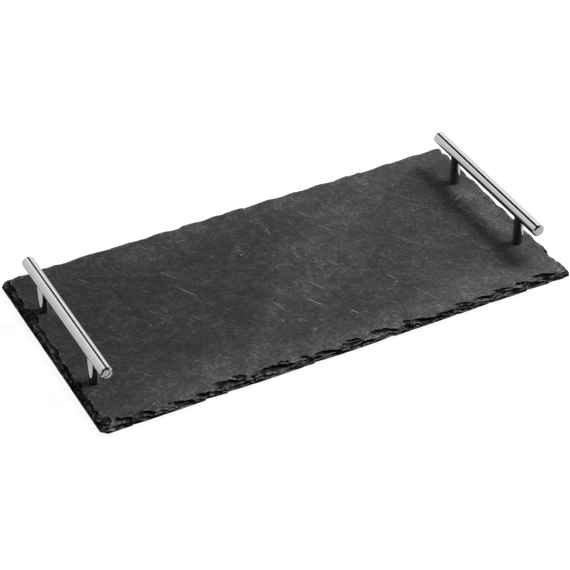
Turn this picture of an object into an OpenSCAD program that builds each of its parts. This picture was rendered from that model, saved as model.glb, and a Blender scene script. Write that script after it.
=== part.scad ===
// Slate serving board with two tubular steel handles and four rubber feet.
// Lengths are in millimetres and angles in degrees.
// The board stands on z = 0 and is centred on the origin.
// Its long side runs along X, each handle runs along Y, and the near side is -Y.

/* [Slate] */
// Length of the slate at its base
slate_length = 400; // [340:1:480]
// Width of the slate at its base
slate_width = 200; // [180:1:260]
// Thickness of the slate
slate_thickness = 5; // [4:0.5:8]
// Height of the widest line of the split edge above the underside
rim_height = 1.2; // [0.8:0.1:2]
// How far the underside is chipped in from the widest line
under_chip = 0.7; // [0.3:0.1:1.5]
// How far the base outline wanders in from its straight line
edge_wander = 1.1; // [0.4:0.1:2]
// Length of the broken corners along each side
corner_break = 4.5; // [3:0.5:8]

/* [Split edges] */
// Set-in of the top edge on the near long side, at its deepest chips
near_bevel = 7.5; // [4:0.5:10]
// Set-in of the top edge on the far long side, at its deepest chips
far_bevel = 4; // [2:0.5:10]
// Set-in of the top edge on the left short side, at its deepest chips
left_bevel = 7.5; // [4:0.5:10]
// Set-in of the top edge on the right short side, at its deepest chips
right_bevel = 4.5; // [2:0.5:10]
// Height of the small step where the upper layers broke off
layer_step = 1; // [0.5:0.1:1.5]

/* [Handles] */
// Distance of each handle's centre line from the end of the slate
handle_inset = 16.5; // [14:0.5:30]
// Distance between the two posts of a handle
post_spacing = 96; // [64:1:128]
// Diameter of the posts
post_d = 8; // [7:0.5:9]
// Clear height between the slate and the underside of the tube
finger_gap = 23.5; // [22:0.5:40]
// Full length of a handle with its end caps
handle_length = 152; // [140:1:170]
// Outer diameter of the handle tube
tube_d = 10; // [9.5:0.5:14]
// Wall of the handle tube
tube_wall = 1; // [0.6:0.1:1.2]

/* [End caps] */
// Visible thickness of an end cap
cap_thickness = 1.6; // [1.2:0.1:3]
// Bevel around the face of an end cap
cap_bevel = 1; // [0.5:0.1:1.1]
// Length of the cap's plug inside the tube
cap_plug_length = 5; // [3:0.5:10]

/* [Fasteners] */
// Thread diameter of the studs and screws
thread_d = 4; // [3:0.5:5]
// Length of the anchor that holds each stud inside the tube
anchor_length = 12; // [8:0.5:20]
// Depth of a stud in its post
stud_depth = 7; // [5:0.5:8]
// Reach of a stud past the tube's centre line
stud_reach = 2; // [1:0.5:2.5]
// Depth of a screw in its post
screw_depth = 10; // [6:0.5:12]
// Diameter of a screw head
head_d = 8; // [7:0.5:9]
// Height of a screw head
head_height = 2; // [1.5:0.1:2.2]
// Length of one arm of the cross recess in a screw head
recess_length = 4.4; // [3:0.1:5]
// Width of the cross recess in a screw head
recess_width = 0.9; // [0.6:0.1:1.2]
// Depth of the cross recess in a screw head
recess_depth = 1; // [0.6:0.1:1.3]
// Outer diameter of a washer
washer_d = 9; // [8.5:0.5:12]
// Thickness of a washer
washer_thickness = 0.8; // [0.5:0.1:1]
// Bevel on a washer's lower edge
washer_bevel = 0.2; // [0.1:0.05:0.3]

/* [Feet] */
// Diameter of a foot where it meets the slate
foot_d = 12; // [8:0.5:20]
// Height of a foot
foot_height = 4; // [3.6:0.1:8]
// How much smaller a foot's radius is at the table
foot_taper = 0.8; // [0.2:0.1:1.5]
// Rounding of a foot's lower edge
foot_round = 0.8; // [0.3:0.1:1.2]
// Distance of each foot's centre from the edges of the slate
foot_inset = 20; // [18:0.5:22]

/* [Clearances] */
// Radial play of a stud or screw in its tapped hole
thread_play = 0.05; // [0.02:0.01:0.1]
// Radial play of an end cap's plug or an anchor in the tube
plug_play = 0.05; // [0.02:0.01:0.1]
// Radial play of a stud in the wall of the tube
wall_play = 0.15; // [0.1:0.05:0.3]
// Radial play of a screw in its washer
washer_play = 0.2; // [0.1:0.05:0.3]
// Radial play of a screw in the slate
slate_play = 0.5; // [0.3:0.1:1]
// Gap between a screw's tip and the bottom of its tapped hole
tip_gap = 1; // [0.5:0.5:2]

/* [Hidden] */
$fn = 64;

// Sides and ends as signs: left and front are negative, right and rear are positive.
left = -1;
right = 1;
front = -1;
rear = 1;

// Overrun of a cut past the face that it leaves
over = thread_d / 4;

// Levels, from the table up
slate_base_z = foot_height;
slate_top_z = slate_base_z + slate_thickness;
tube_r = tube_d / 2;
tube_axis_z = slate_top_z + finger_gap + tube_r;
washer_base_z = slate_base_z - washer_thickness;
head_base_z = washer_base_z - head_height;

// Places, from the centre out
handle_x = slate_length / 2 - handle_inset;
post_y = post_spacing / 2;
foot_x = slate_length / 2 - foot_inset;
foot_y = slate_width / 2 - foot_inset;

// Radii of the handle's pieces
bore_r = tube_r - tube_wall;
plug_r = bore_r - plug_play;
thread_r = thread_d / 2;
tapped_r = thread_r + thread_play;
tube_length = handle_length - 2 * cap_thickness;

// The outline of the slate: the four sides and the four broken corners, walked
// anticlockwise from the near left corner. Each row is a start corner, the number of
// points on the stretch, and the set-in of the top edge there.
half_l = slate_length / 2;
half_w = slate_width / 2;
long_points = 84;
short_points = 44;
corner_points = 3;
OUTLINE = [
    [[corner_break - half_l, -half_w], long_points, near_bevel],
    [[half_l - corner_break, -half_w], corner_points, near_bevel],
    [[half_l, corner_break - half_w], short_points, right_bevel],
    [[half_l, half_w - corner_break], corner_points, right_bevel],
    [[half_l - corner_break, half_w], long_points, far_bevel],
    [[corner_break - half_l, half_w], corner_points, far_bevel],
    [[-half_l, half_w - corner_break], short_points, left_bevel],
    [[-half_l, corner_break - half_w], corner_points, left_bevel]
];
EDGE = [
    for (k = [0 : len(OUTLINE) - 1])
        let (from = OUTLINE[k], to = OUTLINE[(k + 1) % len(OUTLINE)])
            for (i = [0 : from[1] - 1])
                let (part = i / from[1])
                    [from[0] + (to[0] - from[0]) * part, from[2] + (to[2] - from[2]) * part]
];
edge_count = len(EDGE);

// Waves run round the whole outline a whole number of times, so that they close.
// A ripple goes from 0 to 1, and a scallop is a row of arches from 0 to 1 with sharp feet.
ripple_weight_shares = [0.5, 0.3, 0.2];
function ripple(turn, counts, start) =
    0.5 + 0.5 * (
        ripple_weight_shares[0] * sin(360 * counts[0] * turn + start)
        + ripple_weight_shares[1] * sin(360 * counts[1] * turn + 2 * start)
        + ripple_weight_shares[2] * sin(360 * counts[2] * turn + 3 * start)
    );
function scallop(turn, count, start) = sqrt(abs(sin(180 * count * turn + start)));

// How deep the chips are at a place on the outline, as shares of the side's bevel
upper_counts = [9, 23, 41];
upper_scallops = 61;
lower_counts = [13, 31, 47];
lower_scallops = 83;
upper_least_share = 0.3;
lower_least_share = 0.15;
lower_most_share = 0.6;
function upper_share(turn) =
    upper_least_share + (1 - upper_least_share)
        * ripple(turn, upper_counts, 40) * (1 + scallop(turn, upper_scallops, 15)) / 2;
function lower_share(turn) =
    upper_share(turn) * (lower_least_share + (lower_most_share - lower_least_share)
        * ripple(turn, lower_counts, 110) * (1 + scallop(turn, lower_scallops, 70)) / 2);

// One ring of the slate's skin. Each point is drawn in towards the middle by its wander
// and by its share of the bevel, and never leaves the nominal rectangle.
wander_counts = [5, 17, 37];
function wander(turn) = edge_wander * max(0, 2 * ripple(turn, wander_counts, 200) - 1);
function drawn_in(point, depth) =
    [point[0] * (1 - depth / half_l), point[1] * (1 - depth / half_w)];
function ring(z, extra, upper, lower) = [
    for (i = [0 : edge_count - 1])
        let (
            turn = i / edge_count,
            bevel = EDGE[i][1],
            depth = wander(turn) + extra + bevel * (upper * upper_share(turn) + lower * lower_share(turn)),
            flat = drawn_in(EDGE[i][0], depth)
        )
            [flat[0], flat[1], z]
];

// The rings from the underside to the top face. The two middle ones make the step that
// is left where the upper layers broke away.
step_middle_share = 0.55;
step_z = slate_base_z + rim_height + (slate_thickness - rim_height) * step_middle_share;
step_low_share = 0.85;
RINGS = [
    ring(slate_base_z, under_chip, 0, 0),
    ring(slate_base_z + rim_height, 0, 0, 0),
    ring(step_z - layer_step, 0, 0, 1),
    ring(step_z, 0, step_low_share, 0),
    ring(slate_top_z, 0, 1, 0)
];
ring_count = len(RINGS);
SKIN_POINTS = concat(
    [for (one_ring = RINGS) for (point = one_ring) point],
    [[0, 0, slate_base_z], [0, 0, slate_top_z]]
);
under_middle = ring_count * edge_count;
top_middle = under_middle + 1;
last_ring = (ring_count - 1) * edge_count;
SKIN_FACES = [
    for (i = [0 : edge_count - 1])
        let (next = (i + 1) % edge_count)
            each concat(
                [[under_middle, i, next], [top_middle, last_ring + next, last_ring + i]],
                [
                    for (r = [0 : ring_count - 2])
                        let (
                            a = r * edge_count + i,
                            b = r * edge_count + next,
                            c = b + edge_count,
                            d = a + edge_count
                        )
                            each [[a, d, b], [b, d, c]]
                ]
            )
];

// A slab split from layered stone, dressed by chipping along all four sides, with one
// drilled hole under each post.
module slate_board() {
    color("#3d3e40")
    difference() {
        polyhedron(points = SKIN_POINTS, faces = SKIN_FACES, convexity = 6);
        for (side = [left, right])
            for (end = [front, rear])
                translate([side * handle_x, end * post_y, slate_base_z - over])
                    cylinder(h = slate_thickness + 2 * over, r = thread_r + slate_play);
    }
}

// Turns a piece that was built along Z so that it lies along Y on a handle's centre line.
module on_handle_axis(side, end, y) {
    translate([side * handle_x, end * y, tube_axis_z])
        rotate([-90 * end, 0, 0])
            children();
}

// A thin-walled tube with one hole in its lower wall above each post.
module handle_tube(side) {
    color("#c4c6c8")
    difference() {
        on_handle_axis(side, rear, -tube_length / 2)
            difference() {
                cylinder(h = tube_length, r = tube_r);
                translate([0, 0, -over])
                    cylinder(h = tube_length + 2 * over, r = bore_r);
            }
        for (end = [front, rear])
            translate([side * handle_x, end * post_y, tube_axis_z - tube_r - over])
                cylinder(h = tube_r + over, r = thread_r + wall_play);
    }
}

// A bevelled cap with a plug that is pressed into the end of the tube.
module end_cap(side, end) {
    color("#b4b6b9")
    on_handle_axis(side, end, tube_length / 2)
        rotate_extrude()
            polygon([
                [0, -cap_plug_length],
                [plug_r - cap_bevel / 2, -cap_plug_length],
                [plug_r, cap_bevel / 2 - cap_plug_length],
                [plug_r, 0],
                [tube_r, 0],
                [tube_r, cap_thickness - cap_bevel],
                [tube_r - cap_bevel, cap_thickness],
                [0, cap_thickness]
            ]);
}

// A round post: its foot is flat on the slate and its top is hollowed to fit the tube.
// It is tapped from below for the screw and from above for the stud.
module post(side, end) {
    color("#a9abae")
    translate([side * handle_x, end * post_y, 0])
        difference() {
            translate([0, 0, slate_top_z])
                cylinder(h = tube_axis_z - slate_top_z, d = post_d);
            translate([0, -post_d, tube_axis_z])
                rotate([-90, 0, 0])
                    cylinder(h = 2 * post_d, r = tube_r);
            translate([0, 0, slate_top_z - over])
                cylinder(h = screw_depth + tip_gap + over, r = tapped_r);
            translate([0, 0, tube_axis_z - tube_r - stud_depth])
                cylinder(h = stud_depth + tube_r, r = tapped_r);
        }
}

// A short round slug inside the tube, cross-drilled and tapped for the stud.
module tube_anchors(side) {
    color("#8f9194")
    for (end = [front, rear])
        difference() {
            on_handle_axis(side, end, post_y - anchor_length / 2)
                cylinder(h = anchor_length, r = plug_r);
            translate([side * handle_x, end * post_y, tube_axis_z - tube_r])
                cylinder(h = tube_d, r = tapped_r);
        }
}

// A threaded stud that draws the tube down on its post.
module post_studs(side) {
    color("#8f9194")
    for (end = [front, rear])
        translate([side * handle_x, end * post_y, tube_axis_z - tube_r - stud_depth])
            cylinder(h = stud_depth + tube_r + stud_reach, r = thread_r);
}

// The half profile of a screw head with a domed lower face
dome_steps = 8;
dome_edge_share = 0.35;
dome_edge = head_height * dome_edge_share;
HEAD_PROFILE = concat(
    [[0, head_height], [head_d / 2, head_height], [head_d / 2, head_height - dome_edge]],
    [
        for (i = [1 : dome_steps])
            let (angle = 90 * i / dome_steps)
                [head_d / 2 * cos(angle), (head_height - dome_edge) * (1 - sin(angle))]
    ]
);

// The machine screws that hold a handle from below, with a cross recess in each head.
module handle_screws(side) {
    color("#9c9ea1")
    for (end = [front, rear])
        translate([side * handle_x, end * post_y, head_base_z])
            difference() {
                union() {
                    rotate_extrude()
                        polygon(HEAD_PROFILE);
                    translate([0, 0, head_height])
                        cylinder(h = slate_top_z + screw_depth - washer_base_z, r = thread_r);
                }
                for (turn = [0, 90])
                    rotate([0, 0, turn])
                        translate([-recess_length / 2, -recess_width / 2, -over])
                            cube([recess_length, recess_width, recess_depth + over]);
            }
}

// The flat washers that spread the screws' load on the stone.
module screw_washers(side) {
    color("#a6a8ab")
    for (end = [front, rear])
        translate([side * handle_x, end * post_y, washer_base_z])
            rotate_extrude()
                polygon([
                    [thread_r + washer_play, 0],
                    [washer_d / 2 - washer_bevel, 0],
                    [washer_d / 2, washer_bevel],
                    [washer_d / 2, washer_thickness],
                    [thread_r + washer_play, washer_thickness]
                ]);
}

// A soft foot that is stuck to the underside. It is taller than the washer and screw head.
round_steps = 6;
foot_base_r = foot_d / 2 - foot_taper;
FOOT_PROFILE = concat(
    [[0, 0]],
    [
        for (i = [0 : round_steps])
            let (angle = 90 * i / round_steps)
                [
                    foot_base_r - foot_round + foot_round * sin(angle),
                    foot_round - foot_round * cos(angle)
                ]
    ],
    [[foot_d / 2, foot_height], [0, foot_height]]
);
module foot(side, end) {
    color("#1c1c1d")
    translate([side * foot_x, end * foot_y, 0])
        rotate_extrude()
            polygon(FOOT_PROFILE);
}

slate_board();
handle_tube(left);  // left_handle_tube
handle_tube(right);  // right_handle_tube
end_cap(left, front);  // left_front_end_cap
end_cap(left, rear);  // left_rear_end_cap
end_cap(right, front);  // right_front_end_cap
end_cap(right, rear);  // right_rear_end_cap
post(left, front);  // left_front_post
post(left, rear);  // left_rear_post
post(right, front);  // right_front_post
post(right, rear);  // right_rear_post
tube_anchors(left);  // left_tube_anchors
tube_anchors(right);  // right_tube_anchors
post_studs(left);  // left_post_studs
post_studs(right);  // right_post_studs
handle_screws(left);  // left_handle_screws
handle_screws(right);  // right_handle_screws
screw_washers(left);  // left_screw_washers
screw_washers(right);  // right_screw_washers
foot(left, front);  // left_front_foot
foot(left, rear);  // left_rear_foot
foot(right, front);  // right_front_foot
foot(right, rear);  // right_rear_foot
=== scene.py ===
# %% [markdown]
# This lesson dresses a slate serving board in Blender. The board is a slab of split
# slate, 400 by 200 mm, with a steel tube on two posts at each short end. The packed
# model already holds every solid at its real place, so nothing is fitted here: it is
# loaded first, and each new piece takes its place from it.

# %% Load the frame
import math
import random

import bmesh
import bpy
from mathutils import Matrix, Vector, noise
from mathutils.geometry import delaunay_2d_cdt


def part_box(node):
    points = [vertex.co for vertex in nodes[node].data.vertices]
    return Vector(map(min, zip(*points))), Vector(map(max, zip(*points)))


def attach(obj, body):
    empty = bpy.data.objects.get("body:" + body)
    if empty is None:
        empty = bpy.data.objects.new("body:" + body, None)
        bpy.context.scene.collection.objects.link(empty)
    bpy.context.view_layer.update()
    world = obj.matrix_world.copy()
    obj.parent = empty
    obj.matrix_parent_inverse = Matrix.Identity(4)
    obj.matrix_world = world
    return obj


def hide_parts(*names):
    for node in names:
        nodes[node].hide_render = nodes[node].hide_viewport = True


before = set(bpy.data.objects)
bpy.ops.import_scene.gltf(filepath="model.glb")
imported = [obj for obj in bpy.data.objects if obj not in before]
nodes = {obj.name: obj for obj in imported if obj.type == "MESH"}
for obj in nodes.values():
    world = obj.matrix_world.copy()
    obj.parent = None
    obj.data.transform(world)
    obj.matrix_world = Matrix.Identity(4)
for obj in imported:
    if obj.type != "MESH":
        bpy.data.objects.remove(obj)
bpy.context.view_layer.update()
MM = 0.001

# %% [markdown]
# The photograph was taken from the left and above, with a long lens: the two long edges
# of the board stay nearly parallel. The camera's turn, height, roll, distance and focal
# length were worked out from its four edges and the ends of its posts and tubes.

# %% The camera
PHOTO_WIDTH = 570
SENSOR_WIDTH = 36.0
FOCAL_PIXELS = 2053
camera_turn = math.radians(-27.30)
camera_height = math.radians(37.50)
camera_roll = math.radians(-0.50)
camera_distance = 1604 * MM
aim = Vector((-3.1, -4.5, 4.0)) * MM

back = Vector((
    math.sin(camera_turn) * math.cos(camera_height),
    -math.cos(camera_turn) * math.cos(camera_height),
    math.sin(camera_height),
))
level = Vector((math.cos(camera_turn), math.sin(camera_turn), 0))
upward = back.cross(level)
camera_right = math.cos(camera_roll) * level + math.sin(camera_roll) * upward
camera_up = math.cos(camera_roll) * upward - math.sin(camera_roll) * level

lens = bpy.data.cameras.new("photo_camera")
lens.sensor_width = SENSOR_WIDTH
lens.lens = FOCAL_PIXELS * SENSOR_WIDTH / PHOTO_WIDTH
camera = bpy.data.objects.new("photo_camera", lens)
bpy.context.scene.collection.objects.link(camera)
camera.matrix_world = Matrix.Translation(aim + back * camera_distance) @ Matrix(
    (camera_right, camera_up, back)).transposed().to_4x4()
bpy.context.scene.camera = camera
print("lens in mm:", round(lens.lens, 1))

# %% [markdown]
# Every piece below is a list of points and a list of faces. One helper turns the two
# lists into an object, says which body it rides on and hides the solid it stands for.
# Faces that turn by less than a set angle meet smoothly, so bevels stay crisp and round
# walls stay round.

# %% A helper that makes a piece
def make_piece(name, points, faces, stands_for, sharp_angle=35):
    mesh = bpy.data.meshes.new(name)
    mesh.from_pydata(points, [], faces)
    mesh.validate()
    mesh.update()
    mesh.shade_smooth()
    mesh.set_sharp_from_angle(angle=math.radians(sharp_angle))
    piece = bpy.data.objects.new(name, mesh)
    bpy.context.scene.collection.objects.link(piece)
    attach(piece, "root")
    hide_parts(stands_for)
    print(name, "points:", len(mesh.vertices), "faces:", len(mesh.polygons))
    return piece


# %% [markdown]
# Slate splits into flat layers, and its edges are dressed with blows that flake them
# away. From above, the base outline is nearly straight and the top edge wanders in from
# it by up to 10 mm. A walk round the outline is easier to change than a drawing of it:
# anticlockwise from the near left corner, along four sides and four broken corners. Each
# stretch has a bevel and a slope, which blend into the next, and three corners bulge out
# to a blunt point.

# %% Walk round the outline of the slate
slab_low, slab_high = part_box("slate_board")
half_length = slab_high.x / MM
half_width = slab_high.y / MM
slab_base = slab_low.z / MM
slab_top = slab_high.z / MM
corner_break = 4.5
FULL_BEVEL = 7.5
LONG_STEPS, SHORT_STEPS, CORNER_STEPS = 84, 44, 3
COLUMNS_PER_STEP = 7
# each stretch: start x, start y, steps, bevel, slope of the treads, bulge of a corner
stretches = (
    (corner_break - half_length, -half_width, LONG_STEPS, FULL_BEVEL, 0.14, 0),
    (half_length - corner_break, -half_width, CORNER_STEPS, FULL_BEVEL, 0.14, 0.8),
    (half_length, corner_break - half_width, SHORT_STEPS, 3.3, 0.20, 0),
    (half_length, half_width - corner_break, CORNER_STEPS, 1.6, 0.30, 0.65),
    (half_length - corner_break, half_width, LONG_STEPS, 1.7, 0.30, 0),
    (corner_break - half_length, half_width, CORNER_STEPS, 1.7, 0.30, 0.4),
    (-half_length, half_width - corner_break, SHORT_STEPS, 5.2, 0.50, 0),
    (-half_length, corner_break - half_width, CORNER_STEPS, 5.2, 0.50, 0),
)

walk = []
perimeter = 0.0
for here, there in zip(stretches, stretches[1:] + stretches[:1]):
    x, y, steps, bevel, slope, bulge = here
    next_x, next_y, _, next_bevel, next_slope, _ = there
    length = math.dist((x, y), (next_x, next_y))
    for i in range(steps * COLUMNS_PER_STEP):
        part = i / (steps * COLUMNS_PER_STEP)
        swell = bulge * (1 - abs(2 * part - 1) ** (1 / bulge)) * corner_break / 2 if bulge else 0
        walk.append((
            x + (next_x - x) * part + math.copysign(swell, x),
            y + (next_y - y) * part + math.copysign(swell, y),
            bevel + (next_bevel - bevel) * part,
            slope + (next_slope - slope) * part,
            perimeter + length * part,
        ))
    perimeter += length
near_length = 2 * (half_length - corner_break)
print("columns round the edge:", len(walk), "perimeter in mm:", round(perimeter))

# %% [markdown]
# A blow lifts a flake and leaves a scar: a dark riser on the slab and a paler tread in
# front of it. The riser starts as a hairline, grows taller and ends near the outline. The
# scars lie in three rows, one behind the other. Those of the near edge show best, so they
# are listed one by one.

# %% The scars of the near edge
# each scar: first x, last x, inset at each, height of the riser, all in mm
NEAR_SCARS = (
    (
        (-195, -186, 9.0, 5.0, 0.9), (-152, -140, 5.5, 4.0, 0.4), (-99, -84, 10.0, 6.0, 0.6),
        (-60, -47, 8.5, 7.0, 0.3), (-39, -31, 7.0, 5.0, 0.7), (1, 14, 6.8, 4.8, 1.1),
        (52, 60, 7.5, 6.5, 0.3), (99, 113, 6.5, 4.2, 0.8), (137, 152, 8.0, 4.4, 1.2),
        (155, 168, 7.0, 4.2, 0.8), (175, 193, 9.4, 4.0, 0.9),
    ),
    (
        (-190, -177, 7.0, 2.6, 1.3), (-174, -158, 6.0, 1.6, 1.7), (-147, -129, 4.8, 1.2, 2.4),
        (-127, -115, 5.2, 1.8, 1.9), (-114, -84, 9.0, 2.6, 1.5), (-82, -77, 4.6, 3.6, 0.9),
        (-76, -43, 7.5, 3.0, 2.5), (-38, -29, 4.5, 3.2, 0.9), (-27, -5, 4.8, 1.6, 1.6),
        (-2, 16, 5.2, 3.0, 1.5), (22, 47, 8.0, 2.0, 1.6), (48, 58, 4.2, 2.4, 1.0),
        (60, 78, 6.0, 1.4, 2.2), (80, 96, 4.0, 1.8, 1.5), (97, 114, 4.4, 2.2, 1.2),
        (116, 134, 5.4, 3.4, 1.7), (138, 157, 5.6, 1.2, 2.2), (160, 174, 4.6, 2.0, 1.2),
        (176, 187, 5.0, 1.8, 1.0),
    ),
    (
        (-194, -180, 3.4, 1.4, 2.0), (-172, -160, 2.4, 0.8, 1.6), (-156, -148, 1.8, 0.8, 1.4),
        (-140, -126, 2.6, 0.8, 2.2), (-118, -104, 2.8, 1.0, 1.6), (-98, -80, 3.0, 1.0, 1.9),
        (-74, -58, 2.6, 1.2, 1.4), (-55, -42, 2.2, 0.8, 1.9), (-36, -20, 2.4, 0.9, 1.7),
        (-16, -4, 1.8, 0.7, 1.5), (2, 26, 2.6, 0.9, 2.0), (30, 44, 2.2, 1.0, 1.7),
        (50, 66, 2.4, 0.8, 1.6), (70, 90, 2.2, 0.8, 1.8), (92, 111, 3.0, 1.0, 1.7),
        (118, 130, 2.2, 1.0, 1.5), (142, 156, 2.4, 0.7, 2.1), (164, 178, 2.6, 1.2, 1.6),
        (181, 188, 1.8, 0.9, 0.9),
    ),
)
print("scars along the near edge:", [len(row) for row in NEAR_SCARS])

# %% [markdown]
# The other edges draw their scars from one seeded source, so they come out the same
# each time. A shallow bevel has room for low risers only, and the edge just past the near
# right corner is left smoother.

# %% The scars of the other edges
# each row: length, gap, inset as a share of the bevel, height of the riser
RANDOM_ROWS = (
    ((7, 24), (2, 14), (0.70, 1.70), (0.4, 1.2)),
    ((6, 20), (1, 6), (0.35, 0.90), (0.8, 1.9)),
    ((4, 13), (0, 4), (0.12, 0.45), (0.8, 2.0)),
)
FIRST_GAP = 4
LAST_START = 6
SMOOTH_REACH = 9
SMOOTH_SHARE = 0.3
FLIP_CHANCE = 0.35
dice = random.Random(41)


def bevel_near(place):
    return min(walk, key=lambda column: abs(column[4] - place))[2]


scar_rows = []
for listed, (lengths, gaps, insets, heights) in zip(NEAR_SCARS, RANDOM_ROWS):
    row = []
    for start_x, end_x, *sizes in listed:
        row.append((start_x + near_length / 2, end_x + near_length / 2, *sizes, False))
    place = near_length + dice.uniform(0, FIRST_GAP)
    while place < perimeter - LAST_START:
        end = min(place + dice.uniform(*lengths), perimeter)
        bevel = bevel_near((place + end) / 2)
        depths = (bevel * dice.uniform(*insets), bevel * dice.uniform(*insets))
        height = dice.uniform(*heights) * (0.35 + 0.65 * bevel / FULL_BEVEL)
        if place < near_length + SMOOTH_REACH:
            height *= SMOOTH_SHARE
        row.append((place, end, max(depths), min(depths), height, dice.random() < FLIP_CHANCE))
        place = end + dice.uniform(*gaps)
    scar_rows.append(row)
print("scars in each row:", [len(row) for row in scar_rows])

# %% [markdown]
# The base outline isn't quite straight either. Here and there a blow took a shallow bite
# out of the whole thickness, deep at one end and running out to nothing at the other.

# %% Bites in the outline
BITE_LENGTHS = (7, 32)
BITE_DEPTHS = (0.3, 1.5)
BITE_CHANCE = 0.55
BITE_CURVE = 1.4
bite_dice = random.Random(12)
bites = []
place = 0
while place < perimeter:
    end = place + bite_dice.uniform(*BITE_LENGTHS)
    depth = bite_dice.uniform(*BITE_DEPTHS) if bite_dice.random() < BITE_CHANCE else 0.0
    bites.append((place, end, depth, bite_dice.random() < 0.5))
    place = end
print("bites in the outline:", sum(depth > 0 for _, _, depth, _ in bites))


def bite_at(place):
    """How far the outline lies inside its straight line at a place, in mm."""
    for start, end, depth, deep_first in bites:
        if start <= place <= end:
            t = (place - start) / (end - start)
            return depth * (1 - t if deep_first else t) ** BITE_CURVE
    return 0.0


# %% [markdown]
# Two plain tools shape nearly everything below: an even step from 0 to 1, and random
# lumps of any size. A third says which scar of a row lies at a place on the walk. Between
# two scars the riser has no height and the inset stays level.

# %% What lies at a place on the walk
SCAR_BOW = 0.192


def smooth(low, high, value):
    """0 below low, 1 above high, and an even S between them."""
    t = min(1.0, max(0.0, (value - low) / (high - low)))
    return t * t * (3 - 2 * t)


def grain(x, y, level, size):
    """Random lumps from -1 to 1, of a size in mm. Each use has a level of its own."""
    return noise.noise(Vector((x / size, y / size, level / size)))


def scar_at(row, place):
    """The inset and the height of the riser that one row has at a place, in mm."""
    before = row[-1]
    for scar in row:
        start, end, first, last, height, flipped = scar
        if start <= place <= end:
            t = (place - start) / (end - start)
            if flipped:
                t = 1 - t
            bow = SCAR_BOW * min(first, FULL_BEVEL) * math.sqrt(end - start) * t * (1 - t)
            tall = smooth(0, 0.55, t) * (1 - 0.85 * smooth(0.82, 1, t))
            return first + (last - first) * t + bow, height * tall
        if start > place:
            break
        before = scar
    after = scar if scar[0] > place else row[0]
    return (before[3] + after[2]) / 2, 0.0


print("insets of the rows 100 mm along:", [round(scar_at(row, 100)[0], 1) for row in scar_rows])

# %% [markdown]
# The top face is a natural split. It rises and falls by a fraction of a millimetre and is
# level round the posts, which stand flat on it. Under the right-hand tube it carries a
# mottled patch of painted light, as if the shiny tube threw the lamp's light down on it.
# Points are drawn in from the outline towards the middle of the slab, so that their rings
# never cross at the corners.

# %% The top face
BROAD_RELIEF, FINE_RELIEF = 0.16, 0.09
LEVEL_REACH, LEVEL_BLEND = 6, 12
TUBE_LIGHT_STRENGTH = 0.5
post_boxes = {node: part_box(node) for node in nodes if node.endswith("_post")}
hole_centres = [
    ((low.x + high.x) / 2 / MM, (low.y + high.y) / 2 / MM) for low, high in post_boxes.values()]


def relief(x, y):
    """How far the top face lies under its highest level, in mm."""
    broad = 0.5 + 0.5 * grain(x, y, 3.0, 70)
    fine = 0.5 + 0.5 * grain(x, y, 8.0, 14)
    away = min(math.dist((x, y), centre) for centre in hole_centres)
    share = min(1.0, max(0.0, (away - LEVEL_REACH) / LEVEL_BLEND))
    return (BROAD_RELIEF * broad + FINE_RELIEF * fine) * share


def painted_tube_light(x, y):
    """How much painted light lies on the top face under the right-hand tube, mottled."""
    across = smooth(173, 181, x) * (1 - smooth(190, 198, x))
    along = smooth(-46, -30, y) * (1 - smooth(34, 46, y))
    return TUBE_LIGHT_STRENGTH * across * along * max(0.0, 0.5 + 1.4 * grain(x, y, 90.0, 12))


def drawn_in(x, y, inset):
    return x * (1 - inset / half_length), y * (1 - inset / half_width)


print("relief at the middle of the slab in mm:", round(relief(0, 0), 3))

# %% [markdown]
# The edge is built in columns. Each is a staircase from the top face down to the
# underside: a riser where a flake broke off, then a tread, then the next riser. First it
# is planned, with how far in each riser stands and how tall it is. A wide bevel is
# rougher than a narrow one, and the steep left edge has only shallow bites.

# %% The plan of one column
LEAST_HEIGHTS = (0.0, 0.25, 0.45)
HEIGHT_GAINS = (2.4, 1.5, 1.1)
LEAST_INSET = 0.3
LEAST_TREAD = 0.06


def plan_column(x, y, bevel, slope, place):
    """The outline's inset, the insets of the risers and the rim, and the risers' heights."""
    outline = bite_at(place) + 0.5 * max(0.0, grain(x, y, 2.0, 5.5) - 0.15)
    outline += 0.08 * (0.5 + 0.5 * grain(x, y, 1.0, 1.1))
    outline *= 1.0 - 0.8 * smooth(0.35, 0.5, slope)
    rough = bevel / FULL_BEVEL
    insets, heights = [], []
    for k, row in enumerate(scar_rows):
        inset, height = scar_at(row, place)
        inset += 0.9 * rough * grain(x, y, 10.0 + k, 4)
        inset += (0.12 + 0.26 * rough) * grain(x, y, 14.0 + k, 1.3)
        insets.append(outline + max(LEAST_INSET, inset))
        height *= HEIGHT_GAINS[k] * (1 + 0.35 * grain(x, y, 18.0 + k, 4))
        heights.append(max(LEAST_HEIGHTS[k], height))
    insets.append(outline + 0.12 + 0.30 * max(0.0, grain(x, y, 22.0, 3)))
    for k in reversed(range(len(heights))):
        insets[k] = max(insets[k], insets[k + 1] + LEAST_TREAD)
    return outline, insets, heights


print("insets of the first column in mm:", [round(v, 1) for v in plan_column(*walk[0])[1]])

# %% [markdown]
# Then its points are placed. Each riser is cut back a little under its layer, because
# the layers part there, and that thin gap draws the black lines of a real broken edge. If
# the steps would fall too far for the slab, they all shrink alike. Each point carries
# three marks for the finish: a broken tread; painted shade on the risers, the bottom wall,
# the treads behind tall risers and the steep left bevel, which faces away from the lamp;
# and painted light, a highlight on the lips and a patch under the right-hand tube.

# %% The staircase of broken layers
INNER_INSET = 15.0
INNER_RINGS = (1.0, 0.5, 0.15, 0.04)
LIP_DROP = 0.08
RIM_LEVEL = 0.9


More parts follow.
